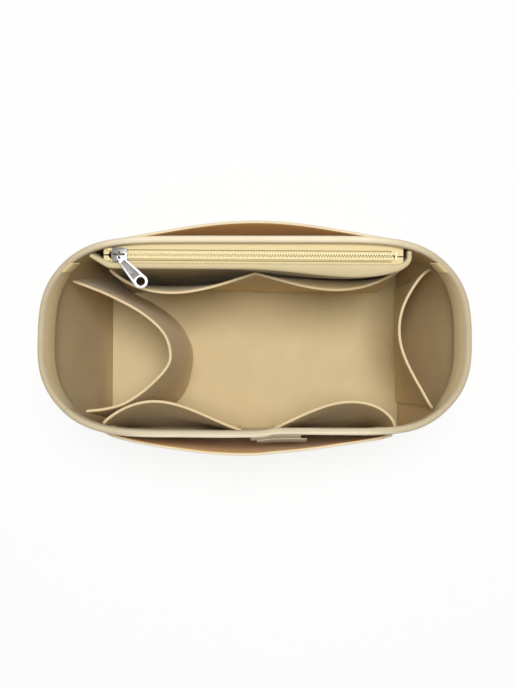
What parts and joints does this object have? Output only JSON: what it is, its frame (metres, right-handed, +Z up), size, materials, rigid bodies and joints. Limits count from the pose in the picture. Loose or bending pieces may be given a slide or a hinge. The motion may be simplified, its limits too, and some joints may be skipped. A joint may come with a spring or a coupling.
{
  "type": "purse organizer insert",
  "caption": "Open-topped felt insert that stands inside a handbag, with slip pockets inside and out, a deep end pocket and a zipped pocket along its back wall.",
  "frame": {"origin": "the middle of the underside, on the surface that the insert stands on", "axes": "+X along the length to the right, +Y to the wall with the zip, +Z up"},
  "size_m": [0.29, 0.1648, 0.17],
  "materials": {
    "felt": "dense beige felt, matt",
    "pocket_felt": "thinner beige felt, matt",
    "label": "blank woven patch",
    "zip_tape": "woven polyester tape",
    "zip_coil": "satin nylon coil",
    "stop_metal": "crimped metal",
    "slider_metal": "nickel plated",
    "pull_metal": "nickel plated"
  },
  "bodies": {
    "felt_body": {"base_panel": "felt", "back_wall": "felt", "back_facing": "felt", "front_wall": "felt", "front_facing": "felt", "left_end_wall": "felt", "left_facing": "felt", "right_end_wall": "felt", "right_facing": "felt", "front_slip_pocket_left": "pocket_felt", "front_slip_pocket_right": "pocket_felt", "right_end_pocket": "pocket_felt", "back_outer_pocket": "pocket_felt", "front_outer_pocket": "pocket_felt", "left_end_pocket": "pocket_felt", "zip_pocket_panel": "pocket_felt", "back_slip_pocket": "pocket_felt", "label_patch": "label", "zip_tape_back": "zip_tape", "zip_tape_front": "zip_tape", "zip_coil_back": "zip_coil", "zip_coil_front": "zip_coil", "zip_top_stop_back": "stop_metal", "zip_top_stop_front": "stop_metal", "zip_bottom_stop": "stop_metal"},
    "slider": {"slider_body": "slider_metal", "slider_crown": "slider_metal"},
    "pull_link": {"pull_link": "pull_metal"},
    "pull_tab": {"pull_tab": "pull_metal"}
  },
  "joints": [
    {"name": "zip_slide", "type": "slide", "parent": "felt_body", "child": "slider", "axis": [1, -0.006, 0], "range_m": [0, 0.178], "deforming": ["zip_coil_back", "zip_coil_front"]},
    {"name": "link_flip", "type": "hinge", "parent": "slider", "child": "pull_link", "pos_m": [-0.0911, 0.05535, 0.16795], "axis": [-1, 0, 0], "range_deg": [0, 100]},
    {"name": "tab_swivel", "type": "hinge", "parent": "pull_link", "child": "pull_tab", "pos_m": [-0.0911, 0.05275, 0.16795], "axis": [0.0467, -0.0518, 0.9976], "range_deg": [-40, 20]}
  ]
}
